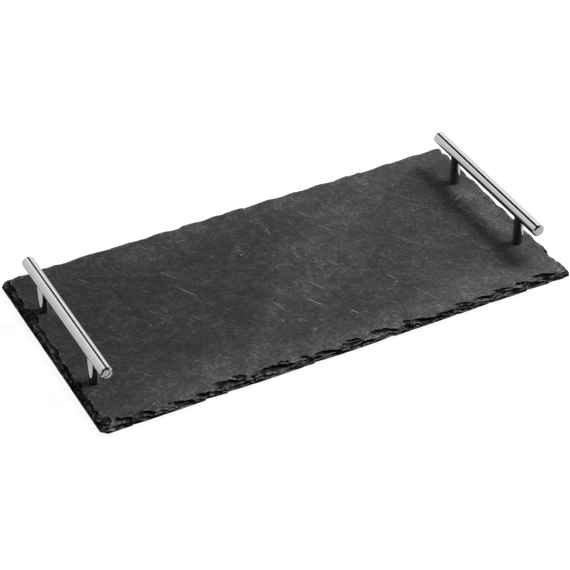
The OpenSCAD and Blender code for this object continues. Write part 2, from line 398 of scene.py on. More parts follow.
def edge_column(x, y, bevel, slope, place):
    """One column, from the inner ring out and down: points (x, y, z, tread, painted shade, painted
    light).
    """
    outline, insets, heights = plan_column(x, y, bevel, slope, place)
    widths = [wide - narrow for wide, narrow in zip(insets, insets[1:])]
    fall = sum(heights) + slope * sum(widths)
    shrink = min(1.0, (slab_top - slab_base - RIM_LEVEL) / fall)
    column = []

    def add(inset, z, tread, painted_shade, lip):
        column.append((*drawn_in(x, y, inset), z, tread, painted_shade, lip))

    for share in INNER_RINGS:
        inset = insets[0] + (INNER_INSET - insets[0]) * share
        spot = drawn_in(x, y, inset)
        # the ring at the arris carries a painted highlight, the inner rings the painted light under the
        # right-hand tube
        lip = smooth(-0.1, 0.25, grain(x, y, 80.0, 5)) if share < 0.1 else painted_tube_light(*spot)
        add(inset, slab_top - relief(*spot), 0, 0, lip)
    level = slab_top - relief(*drawn_in(x, y, insets[0])) - LIP_DROP
    add(insets[0], level, 0, 0, lip)
    trodden = 0
    # painted shade on the treads, strongest on the steep left bevel, which faces away from the lamp
    shade = smooth(0.20, 0.50, slope) * 0.85 + 0.10
    for k, (height, width) in enumerate(zip(heights, widths)):
        height *= shrink
        dark = smooth(0.05, 0.45, height)
        trodden = max(trodden, smooth(0.02, 0.3, height))
        gap = min(1.3, 0.6 * height) * max(0.0, 0.6 + 1.2 * grain(x, y, 30.0 + k, 5))
        under = insets[k] + 0.4 * gap + 0.10 * grain(x, y, 40.0 + k, 0.9) * dark
        # a painted highlight along the lip of each tread
        lip = smooth(-0.15, 0.2, grain(x, y, 82.0 + k, 5))
        ripple = 0.22 * min(1.0, width / 1.5) * trodden
        foot = level - height
        end = foot - slope * shrink * width
        early = foot + (end - foot) * 0.25 + ripple * grain(x, y, 50.0 + k, 2.2)
        late = foot + (end - foot) * 0.65 + ripple * grain(x, y, 54.0 + k, 1.3)
        # the riser and the inner part of its tread carry painted shade
        add(under, level - 0.45 * height, trodden, dark, 0)
        add(insets[k] + gap, foot + 0.06 * height, trodden, dark, 0)
        add(insets[k] - 0.25 * width, early, trodden, max(shade, dark), 0)
        add(insets[k] - 0.65 * width, late, trodden, max(shade, 0.45 * dark), 0.4 * lip)
        add(insets[k + 1], end, trodden, shade, lip)
        level = end
    drop = level - slab_base
    rim = insets[-1] + 0.3 * smooth(0.8, 2.2, drop) * grain(x, y, 60.0, 1.5)
    # the bottom wall carries full painted shade
    add(max(outline, rim), slab_base + 0.62 * drop, trodden, 1, 0)
    add(outline, slab_base + 0.30 * drop, trodden, 1, 0)
    add(outline + 0.02, slab_base, trodden, 1, 0)
    return column


columns = [edge_column(*spot) for spot in walk]
row_count = len(columns[0])
print("rows in a column:", row_count)

# %% [markdown]
# The flat faces are filled with triangles. A split face is never quite flat, so the top
# gets a loose grid of points. Both faces leave out the holes of the handle screws.

# %% Fill the two flat faces
HOLE_SIDES = 28
hole_radius = 2.5
GRID_SPACING = 3.2
GRID_JITTER = 0.2
GRID_MARGIN = 2


def hole_loop(centre):
    angles = [2 * math.pi * i / HOLE_SIDES for i in range(HOLE_SIDES)]
    return [
        Vector((centre[0] + hole_radius * math.cos(a), centre[1] + hole_radius * math.sin(a)))
        for a in angles]


def loose_grid(loop):
    """Points inside the loop and clear of the holes, each moved a little at random."""
    wide = min(abs(p[0]) for p in loop if abs(p[1]) < 10) - GRID_MARGIN
    deep = min(abs(p[1]) for p in loop if abs(p[0]) < 10) - GRID_MARGIN
    across, along = int(2 * wide / GRID_SPACING), int(2 * deep / GRID_SPACING)
    grid = []
    for i in range(across + 1):
        for j in range(along + 1):
            p = Vector((-wide + 2 * wide * i / across, -deep + 2 * deep * j / along))
            shift = (dice.uniform(-GRID_JITTER, GRID_JITTER), dice.uniform(-GRID_JITTER, GRID_JITTER))
            p += Vector(shift) * GRID_SPACING
            clear = all(math.dist(p, c) > hole_radius + 1 for c in hole_centres)
            if clear and abs(p.x) < wide and abs(p.y) < deep:
                grid.append(p)
    return grid


def fill_face(loop, inner_points):
    """Triangles inside the loop and outside the holes: (points, triangles, origins)."""
    flat = [Vector(p) for p in loop]
    edges = [(i, (i + 1) % len(loop)) for i in range(len(loop))]
    for centre in hole_centres:
        start = len(flat)
        flat += hole_loop(centre)
        edges += [(start + i, start + (i + 1) % HOLE_SIDES) for i in range(HOLE_SIDES)]
    flat += inner_points
    result = delaunay_2d_cdt(flat, edges, [list(range(len(loop)))], 1, 1e-5)
    triangles = []
    for face in result[2]:
        middle = sum((result[0][i] for i in face), Vector((0, 0))) / len(face)
        if all(math.dist(middle, c) > hole_radius * 0.98 for c in hole_centres):
            triangles.append(list(face))
    return result[0], triangles, result[3]


top_loop = [column[0][:2] for column in columns]
base_loop = [column[-1][:2] for column in columns]
top_flat, top_triangles, top_origins = fill_face(top_loop, loose_grid(top_loop))
base_flat, base_triangles, base_origins = fill_face(base_loop, [])
print("triangles on top:", len(top_triangles), "below:", len(base_triangles))

# %% [markdown]
# The slate isn't evenly grey. It is paler along its long edges and in a slanting band.
# Painted shade darkens it round the foot of each post, to the left of the left-hand posts,
# at the ends of the right-hand handle's shadow and towards the left end. Painted light
# makes it paler towards the right and under the right-hand tube. Each such change is a
# short formula, stored at the points of the mesh.

# %% Pale places, painted shade and painted light
# each spot: x, y and reach in mm, and how much paler it is; below 0 painted shade, above 0 painted
# light
PAINTED_SHADE_AND_LIGHT = (
    # painted shadows beside the handles, painted shade round each foot, painted light under the
    # right-hand tube
    (167, 55, 15, -0.9), (167, -59, 12, -0.9), (-190, 49, 5, -0.85), (-190, -47, 5, -0.85),
    (183.5, 48, 3.8, -1.2), (183.5, -48, 3.8, -1.2), (-183.5, 48, 3.8, -1.2), (-183.5, -48, 3.8, -1.2),
    (180.5, 37, 8, 1.3), (184, 0, 8, 0.45), (182, -25, 6, 0.35),
)
STRIP_INNER, STRIP_OUTER = 42, 12


def pale_and_painted_light(x, y):
    """How pale a place is, from about -1 in painted shade to 1.5 where it is palest."""
    full = half_width - STRIP_OUTER
    if y < 0:
        strip = smooth(half_width - STRIP_INNER - 20 * (1 - smooth(-120, 0, x)), full, -y)
        strip *= (1.45 - 0.65 * smooth(-120, 40, x)) * (0.4 + 0.6 * smooth(-160, -128, x))
    else:
        strip = smooth(half_width - STRIP_INNER, full, y)
        strip *= 0.2 + 0.45 * smooth(-150, -80, x) + 0.35 * smooth(20, 90, x)
    band = 0.55 * (1 - smooth(8, 42, abs(0.69 * (x - 30) - 0.72 * (y - 10))))
    pale = max(strip, band) * (0.75 + 0.5 * grain(x, y, 70.0, 20))
    # painted shade: the middle of the left end is darker, as the lamp's light falls off
    if abs(y) < 60:
        pale -= 0.15 * (1 - smooth(-200, -140, x))
    # painted light: paler towards the right, most of all at the near right, nearer the lamps
    pale += 0.05 * smooth(40, 80, x)
    pale += 0.10 * smooth(20, 60, x) * (1 - smooth(110, 140, x)) * smooth(0, 30, y)
    pale += 0.22 * smooth(70, 130, x) * smooth(35, 60, -y)
    # the painted shade and light of the spots above
    for centre_x, centre_y, reach, change in PAINTED_SHADE_AND_LIGHT:
        pale += change * math.exp(-((x - centre_x) ** 2 + (y - centre_y) ** 2) / (2 * reach ** 2))
    return pale


print("bloom at the middle and at the far edge:", round(pale_and_painted_light(0, 0), 2), round(pale_and_painted_light(0, 95), 2))

# %% [markdown]
# The skin, the two faces and the walls of the holes share their points where they meet,
# so the slab is one closed shell. Each point's marks go into a colour that the finish
# reads: red for a tread, green for painted shade, blue for how pale the place is, painted
# light and shade included, alpha for painted light on the lips and under the right-hand tube.

# %% Join the slab into one shell
stone_points = []
stone_marks = []
stone_faces = []
for column in columns:
    stone_points += [Vector(p[:3]) * MM for p in column]
    stone_marks += [(p[3], p[4], pale_and_painted_light(p[0], p[1]), p[5]) for p in column]
for i in range(len(columns)):
    a = i * row_count
    b = (i + 1) % len(columns) * row_count
    for r in range(row_count - 1):
        stone_faces.append((a + r, a + r + 1, b + r + 1, b + r))


def add_face_points(flat, origins, ring_row, height):
    """Gives each flat point its number in the slab, adding the ones that are new."""
    numbers = []
    for point, sources in zip(flat, origins):
        shared = [o for o in sources if o < len(columns)]
        if shared:
            numbers.append(shared[0] * row_count + ring_row)
        else:
            numbers.append(len(stone_points))
            stone_points.append(Vector((point.x, point.y, height(point.x, point.y))) * MM)
            stone_marks.append((0, 0, pale_and_painted_light(point.x, point.y), painted_tube_light(point.x, point.y)))
    return numbers


top_numbers = add_face_points(top_flat, top_origins, 0, lambda x, y: slab_top - relief(x, y))
base_numbers = add_face_points(base_flat, base_origins, row_count - 1, lambda x, y: slab_base)
stone_faces += [tuple(top_numbers[i] for i in f) for f in top_triangles]
stone_faces += [tuple(base_numbers[i] for i in reversed(f)) for f in base_triangles]
above = {o: n for n, sources in zip(top_numbers, top_origins) for o in sources}
below = {o: n for n, sources in zip(base_numbers, base_origins) for o in sources}
for hole in range(len(hole_centres)):
    first = len(columns) + hole * HOLE_SIDES
    for i in range(HOLE_SIDES):
        a, b = first + i, first + (i + 1) % HOLE_SIDES
        stone_faces.append((above[a], above[b], below[b], below[a]))

slate = make_piece("split_slate", stone_points, stone_faces, "slate_board", 28)
marks = slate.data.attributes.new("broken", "FLOAT_COLOR", "POINT")
for number, mark in enumerate(stone_marks):
    marks.data[number].color = mark

# %% [markdown]
# A finish is a net of nodes. These helpers add a node, give its sockets a number, a
# colour or another node's result, and hand its own result on, so that each finish reads
# as a list of what the eye sees.

# %% Helpers for finishes
def grey(tone):
    return (tone, tone, tone)


def feed(net, node, values):
    """Gives sockets of a node their values. A socket is called by its name or number."""
    for key, value in values.items():
        socket = node.inputs[key]
        if isinstance(value, tuple):
            socket.default_value = (*value, 1) if socket.type == "RGBA" else value
        elif isinstance(value, (int, float)):
            socket.default_value = value
        else:
            net.links.new(value, socket)


def add_node(net, kind, values=None, **settings):
    node = net.nodes.new("ShaderNode" + kind)
    for key, value in settings.items():
        setattr(node, key, value)
    feed(net, node, values or {})
    return node


def add_noise(net, vector, scale, detail, roughness):
    values = {"Vector": vector, "Scale": scale, "Detail": detail, "Roughness": roughness}
    return add_node(net, "TexNoise", values).outputs["Fac"]


def add_cells(net, vector, scale, dimensions="3D"):
    values = {"Vector": vector, "Scale": scale}
    return add_node(net, "TexVoronoi", values, voronoi_dimensions=dimensions).outputs


def add_map(net, value, low, high, out_low, out_high):
    values = dict(enumerate((value, low, high, out_low, out_high)))
    return add_node(net, "MapRange", values, clamp=True).outputs["Result"]


def add_math(net, operation, first, *others):
    """One operation on two values, or on more of them from left to right."""
    for other in others or (0,):
        first = add_node(net, "Math", {0: first, 1: other}, operation=operation).outputs[0]
    return first


def add_vector(net, operation, first, second):
    key = "Scale" if operation == "SCALE" else 1
    return add_node(net, "VectorMath", {0: first, key: second}, operation=operation).outputs[0]


def add_blend(net, amount, first, second):
    return add_node(net, "Mix", {"Factor": amount, 6: first, 7: second}, data_type="RGBA").outputs[2]


def add_mapping(net, vector, kind="POINT", **values):
    return add_node(net, "Mapping", {"Vector": vector, **values}, vector_type=kind).outputs[0]


def split(net, kind, value):
    """The three parts of a colour (kind Color) or of a vector (kind XYZ)."""
    return add_node(net, "Separate" + kind, {0: value}).outputs


def add_bump(net, height, strength, distance, **below):
    values = {"Height": height, "Strength": strength, "Distance": distance, **below}
    return add_node(net, "Bump", values).outputs["Normal"]


def new_finish(name):
    material = bpy.data.materials.new(name)
    material.use_nodes = True
    net = material.node_tree
    return material, net, net.nodes["Principled BSDF"]


# %% [markdown]
# Slate is nearly black with a grey bloom, and part of the grey here is painted sheen.
# Clouds, patches, mottle, a fine grain and faint streaks along the split add up to one
# tone. A steep curve turns it into colour, so that most of the face is dark and little of
# it pale.

# %% The slate's colour
STREAK_TURN = math.radians(57)
stone, net, shader = new_finish("natural_slate")
place = add_node(net, "TexCoord").outputs["Object"]
broken = add_node(net, "VertexColor", layer_name="broken").outputs
broken_parts = split(net, "Color", broken["Color"])
clouds = add_noise(net, place, 26, 5, 0.62)
patches = add_noise(net, place, 110, 5, 0.72)
mottle = add_noise(net, place, 330, 4, 0.75)
fine_grain = add_noise(net, place, 800, 3, 0.8)
streak_place = add_mapping(net, place, Rotation=(0, 0, STREAK_TURN))
streak_place = add_mapping(net, streak_place, Scale=(120, 800, 150))
streaks = add_noise(net, streak_place, 1.0, 5, 0.75)
layers = ((clouds, 0.13), (patches, 0.24), (mottle, 0.27), (fine_grain, 0.25), (streaks, 0.11))
tone = add_math(net, "ADD", *[add_math(net, "MULTIPLY", layer, share) for layer, share in layers])
tone = add_math(net, "POWER", add_map(net, tone, 0.435, 0.60, 0, 1), 2.0)
# part of this grey is painted sheen
colour = add_blend(net, tone, grey(0.013), grey(0.060))
# paler and darker where the blue mark says, painted light and shade included
pale_and_light_gain = add_math(net, "ADD", add_math(net, "MULTIPLY", broken_parts["Blue"], 1.2), 1.0)
colour = add_vector(net, "SCALE", colour, pale_and_light_gain)
print("layers in the slate's tone:", len(layers))

# %% [markdown]
# Knives leave light scratches, most of them one way. Each cell of a cell pattern draws
# one: a slightly bowed line with a turn, a length and a strength of its own. Four sizes
# of cell give long to very short scratches, and a fifth set crosses them. The place is
# wobbled first, so that no line is perfectly straight.

# %% A set of scratches
def scratch_set(net, place, cells, way, spread, reach, width, share, strength):
    pattern = add_cells(net, place, cells, "2D")
    chance = split(net, "Color", pattern["Color"])
    low, high = math.radians(-way - spread), math.radians(-way + spread)
    turn = add_node(net, "VectorRotate", {
        "Vector": add_vector(net, "SUBTRACT", place, pattern["Position"]),
        "Angle": add_map(net, chance["Red"], 0, 1, low, high),
    }, rotation_type="Z_AXIS")
    parts = split(net, "XYZ", turn.outputs["Vector"])
    along = add_math(net, "ABSOLUTE", parts["X"])
    own_reach = add_map(net, chance["Green"], 0, 1, 0.35 * reach, reach)
    ends = add_map(net, add_math(net, "DIVIDE", along, own_reach), 0.4, 1.0, 1, 0)
    bow = add_math(net, "MULTIPLY", along, along, 1.2)
    across = add_math(net, "ABSOLUTE", add_math(net, "ADD", parts["Y"], bow))
    line = add_map(net, across, 0.35 * width, width, 1, 0)
    chosen = add_map(net, chance["Blue"], 1 - share, 1, 0.0, strength)
    return add_math(net, "MULTIPLY", ends, line, chosen)


def wobbled(net, vector, scale, reach):
    """The vector pushed about at random, so that lines in it run a little unevenly."""
    push = add_node(net, "TexNoise", {"Vector": vector, "Scale": scale, "Detail": 2})
    centred = add_vector(net, "SUBTRACT", push.outputs["Color"], (0.5, 0.5, 0.5))
    return add_vector(net, "ADD", vector, add_vector(net, "SCALE", centred, 2 * reach))


SCRATCH_WAY = -57
# each set: cells to the metre, way, spread, reach, width, share of cells used, strength
scratch_sets = (
    (15, SCRATCH_WAY, 5, 19 * MM, 0.28 * MM, 0.75, 0.45),
    (40, SCRATCH_WAY, 9, 9 * MM, 0.26 * MM, 0.85, 0.52),
    (75, SCRATCH_WAY, 16, 5.5 * MM, 0.24 * MM, 0.85, 0.42),
    (150, SCRATCH_WAY, 30, 2.4 * MM, 0.22 * MM, 0.45, 0.36),
    (50, SCRATCH_WAY + 75, 80, 6 * MM, 0.22 * MM, 0.35, 0.34),
)
shaken = wobbled(net, place, 140, 0.9 * MM)
scratches = add_math(net, "MAXIMUM", *[scratch_set(net, shaken, *numbers) for numbers in scratch_sets])
wear = add_map(net, add_noise(net, place, 420, 3, 0.6), 0.38, 0.60, 0.15, 1.0)
scratches = add_math(net, "MULTIPLY", scratches, wear)
print("sets of scratches:", len(scratch_sets))

# %% [markdown]
# The clearest scratches lie where they do on the real board, so they are placed one by
# one. A texture mapping turns the space round each into its own, with its ends at 1.

# %% The clearest scratches
def placed_scratch(net, place, start, end, half, strength):
    run = Vector(end) - Vector(start)
    middle = (Vector(end) + Vector(start)) / 2 * MM
    local = add_mapping(
        net, place, "TEXTURE", Location=(middle.x, middle.y, 0),
        Rotation=(0, 0, math.atan2(run.y, run.x)), Scale=(run.length / 2 * MM, half * MM, 1))
    parts = split(net, "XYZ", local)
    ends = add_map(net, add_math(net, "ABSOLUTE", parts["X"]), 0.5, 1.0, 1, 0)
    line = add_map(net, add_math(net, "ABSOLUTE", parts["Y"]), 0.3, 1.0, strength, 0.0)
    return add_math(net, "MULTIPLY", ends, line)


# each scratch: start, end, half width, strength, all in mm
CLEAR_SCRATCHES = (
    ((-0.3, -31.7), (9.2, -47.9), 0.30, 0.9), ((69.8, -34.1), (75.2, -45.0), 0.30, 0.7),
    ((80.0, -57.0), (90.3, -81.9), 0.26, 0.5), ((-82.1, 28.9), (-71.8, 9.0), 0.30, 0.6),
    ((48.8, 72.8), (53.9, 60.5), 0.28, 0.5), ((15.3, 65.5), (14.9, 53.3), 0.28, 0.5),
    ((11.3, -12.3), (19.7, -31.3), 0.28, 0.5), ((23.8, -60.5), (27.8, -68.9), 0.32, 0.8),
    ((-85.0, 52.0), (-77.0, 37.0), 0.26, 0.5), ((-24.4, -22.0), (-20.4, -41.0), 0.30, 0.45),
    ((169.0, 25.3), (178.7, 29.0), 0.30, 0.8), ((167.3, 29.7), (170.9, 29.9), 0.26, 0.5),
    ((182.2, 29.6), (190.4, 19.5), 0.24, 0.4), ((184.6, 22.6), (187.7, 30.7), 0.24, 0.35),
)
clear = [placed_scratch(net, shaken, *numbers) for numbers in CLEAR_SCRATCHES]
scratches = add_math(net, "MAXIMUM", scratches, *clear)
colour = add_blend(net, scratches, colour, grey(0.38))
print("placed scratches:", len(clear))

# %% [markdown]
# Small pale specks lie here and there, where a hard grain was crushed, and larger faint
# bruises with ragged edges, where something knocked the stone.

# %% The specks and bruises
specks = add_cells(net, place, 110)
speck_here = add_map(net, split(net, "Color", specks["Color"])["Red"], 0.72, 1.0, 0.0, 0.9)
speck_spot = add_map(net, specks["Distance"], 0.02, 0.08, 1, 0)
colour = add_blend(net, add_math(net, "MULTIPLY", speck_here, speck_spot), colour, grey(0.42))
ragged = add_map(net, add_noise(net, place, 480, 4, 0.75), 0.42, 0.62, 0, 1)
bruises = add_cells(net, wobbled(net, place, 200, 3 * MM), 58)
bruise_here = add_map(net, split(net, "Color", bruises["Color"])["Green"], 0.55, 1.0, 0.0, 0.75)
bruise_spot = add_map(net, bruises["Distance"], 0.03, 0.20, 1, 0)
bruise = add_math(net, "MULTIPLY", bruise_here, bruise_spot, ragged)
colour = add_blend(net, bruise, colour, grey(0.15))
print("nodes after the specks:", len(net.nodes))

# %% [markdown]
# On the broken edge the treads are paler with fresh grains, and their sparse pale flecks
# are partly a painted highlight. Painted shade keeps the risers and the other shaded points
# nearly black, and painted light makes the lips and a patch under the right-hand tube pale.
# Broken places and spots of painted shade are rougher than the split face. Much of the
# slate's grey is painted sheen, which real stone shows from the lamp's side only; the
# steel mirrors the slate from its far side, so mirrors see a darker colour.

# %% The broken edge and the surface
MIRROR_COLOUR = 0.2
MIRROR_ROUGHNESS = 0.7
chip_tone = add_math(net, "ADD", add_noise(net, place, 520, 5, 0.8), add_noise(net, place, 170, 3, 0.6))
chip_grain = add_map(net, chip_tone, 0.93, 1.18, 0, 1)
# fresh grains; the sparse pale flecks are partly a painted highlight
tread_colour = add_blend(net, chip_grain, grey(0.0), grey(0.13))
painted_shade_colour = add_blend(net, chip_grain, grey(0.0), grey(0.006))
colour = add_blend(net, broken_parts["Red"], colour, tread_colour)
# painted shade on the risers, the bottom wall, the treads behind tall risers and the left bevel
colour = add_blend(net, broken_parts["Green"], colour, painted_shade_colour)
# painted light: a highlight on the lips and a patch under the right-hand tube
colour = add_blend(net, add_math(net, "MULTIPLY", broken["Alpha"], ragged), colour, grey(0.17))
mirror_ray = add_node(net, "LightPath").outputs["Is Glossy Ray"]
split_roughness = add_map(net, patches, 0.3, 0.7, 0.46, 0.58)
broken_roughness = add_map(net, broken_parts["Red"], 0, 1, 0, 0.3)
# spots of painted shade are rougher
shade_spot_roughness = add_map(net, broken_parts["Blue"], -0.8, 0, 0.45, 0)
roughness = add_math(net, "ADD", split_roughness, broken_roughness, shade_spot_roughness)
height_parts = ((patches, 0.8), (fine_grain, 0.45), (scratches, -0.2))
height = add_math(net, "ADD", *[add_math(net, "MULTIPLY", part, share) for part, share in height_parts])
# mirror rays see a darker colour, as the grey is partly painted sheen
mirror_gain = add_map(net, mirror_ray, 0, 1, 1.0, MIRROR_COLOUR)
mirror_share = add_map(net, mirror_ray, 0, 1, 1.0, MIRROR_ROUGHNESS)
feed(net, shader, {
    "Base Color": add_vector(net, "SCALE", colour, mirror_gain),
    "Roughness": add_math(net, "MULTIPLY", roughness, mirror_share),
    "Specular IOR Level": 0.12,
    "Normal": add_bump(net, height, 0.5, 0.5 * MM),
})
slate.data.materials.append(stone)
print("slate finish, nodes:", len(net.nodes))

# %% [markdown]
# The tubes are brushed round and round on a lathe, so they blur what they reflect along
# the bar and keep it sharp across it, and the dark line in each handle is crisp. The
# shader does this with its anisotropy, and a UV map tells it which way the bar runs. A
# lathe helper turns a half profile into each round piece.

# %% A lathe for round pieces
TURNS = 96
WELD_REACH = 1e-7


def lathe(profile, centre, direction):
    """Turns a closed half profile of (radius, distance) about an axis along Y."""
    points, faces = [], []
    for i in range(TURNS):
        angle = 2 * math.pi * i / TURNS
        for radius, distance in profile:
            a, b = radius * math.cos(angle), radius * math.sin(angle)
            points.append((centre + Vector((a, distance * direction, b))) * MM)
    count = len(profile)
    for i in range(TURNS):
        j = (i + 1) % TURNS
        for r in range(count):
            s = (r + 1) % count
            face = [i * count + r, i * count + s, j * count + s, j * count + r]
            if profile[r][0] == 0 and profile[s][0] == 0:
                continue
            if profile[r][0] == 0:
                face.pop(3)
            elif profile[s][0] == 0:
                face.pop(2)
            faces.append(tuple(reversed(face)) if direction > 0 else tuple(face))
    return points, faces


def weld(piece):
    """Joins points that lie in one place, such as those on the axis of a lathe."""
    shell = bmesh.new()
    shell.from_mesh(piece.data)
    bmesh.ops.remove_doubles(shell, verts=shell.verts, dist=WELD_REACH)
    bmesh.ops.recalc_face_normals(shell, faces=shell.faces)
    shell.to_mesh(piece.data)
    shell.free()


def wrap_along(piece, axis, centre):
    """A UV map whose first direction runs along the given axis, for brushed metal."""
    uv = piece.data.uv_layers.new(name="brushing")
    for loop in piece.data.loops:
        p = piece.data.vertices[loop.vertex_index].co - centre
        round_angle = math.atan2(p.x, p.z) if axis == 1 else math.atan2(p.x, p.y)
        uv.data[loop.index].uv = (p[axis] * 10, round_angle / math.tau)


# %% [markdown]
# Both tubes are the same piece at two places. Turned caps close them, so their rims are
# hidden. Many rings along the wall keep the brushing even.

# %% The handle tubes
TUBE_WALL = 1.0
TUBE_RINGS = 60
EDGE_EASE = 0.08
tubes = []
for side in ("left", "right"):
    node = side + "_handle_tube"
    low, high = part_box(node)
    outer = (high.x - low.x) / 2 / MM
    reach = (high.y - low.y) / 2 / MM
    straight = reach - EDGE_EASE
    profile = [(outer - TUBE_WALL, reach), (outer - TUBE_WALL, -reach), (outer - EDGE_EASE, -reach)]
    profile += [(outer, -straight + 2 * straight * i / TUBE_RINGS) for i in range(TUBE_RINGS + 1)]
    profile.append((outer - EDGE_EASE, reach))
    points, faces = lathe(profile, (low + high) / 2 / MM, 1)
    tube = make_piece(side + "_brushed_tube", points, faces, node)
    weld(tube)
    wrap_along(tube, 1, (low + high) / 2)
    tubes.append(tube)

# %% [markdown]
# A cap is turned from bar: a plug that goes into the tube, a shoulder against its rim,
# a bevel, and a face that is a hair hollow. One profile gives all of it, pointing to the
# front or the rear.

# %% The end caps
CAP_THICKNESS = 1.6
CAP_BEVEL = 1.0
PLUG_PLAY = 0.05
PLUG_CHAMFER = 0.5
caps = []
for side in ("left", "right"):
    for end, outward in (("front", -1), ("rear", 1)):
        node = side + "_" + end + "_end_cap"
        low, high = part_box(node)
        outer = (high.x - low.x) / 2 / MM
        length = (high.y - low.y) / MM
        plug = outer - TUBE_WALL - PLUG_PLAY
        seat = length - CAP_THICKNESS
        plug_y = (high.y if end == "front" else low.y) / MM
        centre = Vector(((low.x + high.x) / 2 / MM, plug_y, (low.z + high.z) / 2 / MM))
        profile = [
            (0, 0), (plug - PLUG_CHAMFER, 0), (plug, PLUG_CHAMFER), (plug, seat),
            (outer - EDGE_EASE, seat), (outer, seat + EDGE_EASE),
            (outer, length - CAP_BEVEL), (outer - CAP_BEVEL, length),
            (2.6, length - 0.04), (1.3, length - 0.05), (0, length - 0.05),
        ]
        points, faces = lathe(profile, centre, outward)
        cap = make_piece(side + "_" + end + "_turned_cap", points, faces, node, 25)
        weld(cap)
        caps.append(cap)

# %% [markdown]
# A post is a short round bar. Its foot stands flat on the stone and its top is hollowed
# to fit the tube, so the edge of the wall rises at two sides. The wall is made in columns
# whose top points lie on the tube.

# %% The posts
FOOT_EASE = ((-0.25, 0), (-0.07, 0.07), (0, 0.25))
POST_LEVELS = 16
TOP_RINGS = (0.85, 0.6, 0.3)
posts = []
tube_low, tube_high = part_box("left_handle_tube")
tube_radius = (tube_high.z - tube_low.z) / 2 / MM
tube_axis = (tube_high.z + tube_low.z) / 2 / MM
for node, (low, high) in post_boxes.items():
    radius = (high.x - low.x) / 2 / MM
    centre_x, centre_y = (low.x + high.x) / 2 / MM, (low.y + high.y) / 2 / MM
    base = low.z / MM
    wall_base = base + FOOT_EASE[-1][1]
    points, faces = [], []
    for i in range(TURNS):
        angle = 2 * math.pi * i / TURNS
        across, along = math.cos(angle), math.sin(angle)
        lip = tube_axis - math.sqrt(tube_radius ** 2 - (radius * across) ** 2)
        column = [(radius + inward, base + rise) for inward, rise in FOOT_EASE]
        for n in range(POST_LEVELS):
            column.append((radius, wall_base + (lip - wall_base) * (n + 1) / POST_LEVELS))
        for r in (radius * share for share in TOP_RINGS):
            column.append((r, tube_axis - math.sqrt(tube_radius ** 2 - (r * across) ** 2)))
        points += [Vector((centre_x + r * across, centre_y + r * along, z)) * MM for r, z in column]
    count = len(column)
    foot_centre = len(points)
    points.append(Vector((centre_x, centre_y, base)) * MM)
    points.append(Vector((centre_x, centre_y, tube_axis - tube_radius)) * MM)
    for i in range(TURNS):
        a, b = i * count, (i + 1) % TURNS * count
        faces += [(a + r, b + r, b + r + 1, a + r + 1) for r in range(count - 1)]
        faces.append((b, a, foot_centre))
        faces.append((a + count - 1, b + count - 1, foot_centre + 1))
    post = make_piece(node.replace("_post", "_bright_post"), points, faces, node)
    wrap_along(post, 2, (low + high) / 2)
    posts.append(post)

# %% [markdown]
# Steel looks like what it reflects, so its finish is mostly roughness. The tube is
# brushed most and the posts are nearly polished. Shallow hollows in the faces of the caps
# break up what they mirror.

# %% Brushed and polished steel
def steel_finish(name, tone, roughness, anisotropy, line_scale, line_axis, unevenness, dents=0.0):
    material, net, shader = new_finish(name)
    place = add_node(net, "TexCoord").outputs["Object"]
    stretch = [14.0, 14.0, 14.0]
    stretch[line_axis] = line_scale
    lines = add_noise(net, add_mapping(net, place, Scale=tuple(stretch)), 1.0, 5, 0.7)
    smudge = add_noise(net, place, 70, 4, 0.6)
    line_tone = add_map(net, lines, 0.3, 0.7, 0, 1)
    even = add_map(net, smudge, 0.3, 0.7, roughness - 0.02, roughness + 0.03)
    hollows = {}
    if dents:
        facing = split(net, "XYZ", add_node(net, "NewGeometry").outputs["Normal"])
        on_face = add_map(net, add_math(net, "ABSOLUTE", facing["Y"]), 0.80, 0.95, 0, 1)
        depth = add_math(net, "MULTIPLY", add_noise(net, place, 420, 2, 0.5), on_face)
        hollows["Normal"] = add_bump(net, depth, 1.0, dents)
    feed(net, shader, {
        "Base Color": add_blend(net, line_tone, grey((1 - unevenness) * tone), grey(tone)),
        "Roughness": add_math(net, "ADD", even, add_math(net, "MULTIPLY", line_tone, 0.03)),
        "Metallic": 1.0,
        "Anisotropic": anisotropy,
        "Normal": add_bump(net, lines, 0.06, 0.01 * MM, **hollows),
    })
    if anisotropy:
        way = add_node(net, "Tangent", direction_type="UV_MAP", uv_map="brushing")
        feed(net, shader, {"Tangent": way.outputs["Tangent"]})
    return material


brushed = steel_finish("brushed_tube_steel", 0.73, 0.13, 0.85, 2200, 1, 0.12)
bright = steel_finish("bright_post_steel", 0.72, 0.05, 0.3, 1800, 2, 0.10)
turned_steel = steel_finish("turned_cap_steel", 0.66, 0.11, 0.0, 900, 0, 0.25, 0.8 * MM)
for pieces, finish in ((tubes, brushed), (posts, bright), (caps, turned_steel)):
    for piece in pieces:
        piece.data.materials.append(finish)
    print(finish.name, "on", len(pieces), "pieces")

# %% [markdown]
# The fasteners and the feet keep their solids, because their shapes are already right.
# They only need finishes: bright zinc plating with faint blotches, and a matt, slightly
# dusty black rubber.

# %% Finishes of the fasteners and feet
plating, net, shader = new_finish("zinc_plating")
blotch = add_noise(net, add_node(net, "TexCoord").outputs["Object"], 500, 4, 0.6)
feed(net, shader, {
    "Base Color": add_blend(net, blotch, (0.46, 0.47, 0.50), (0.62, 0.62, 0.63)),
    "Roughness": add_map(net, blotch, 0.3, 0.7, 0.22, 0.40),
    "Metallic": 1.0,
})

rubber, net, shader = new_finish("foot_rubber")
dust = add_noise(net, add_node(net, "TexCoord").outputs["Object"], 700, 5, 0.7)
feed(net, shader, {
    "Base Color": add_blend(net, dust, (0.012, 0.012, 0.013), (0.034, 0.034, 0.034)),
    "Roughness": add_map(net, dust, 0.3, 0.7, 0.62, 0.85),
    "Normal": add_bump(net, dust, 0.3, 0.05 * MM),
})

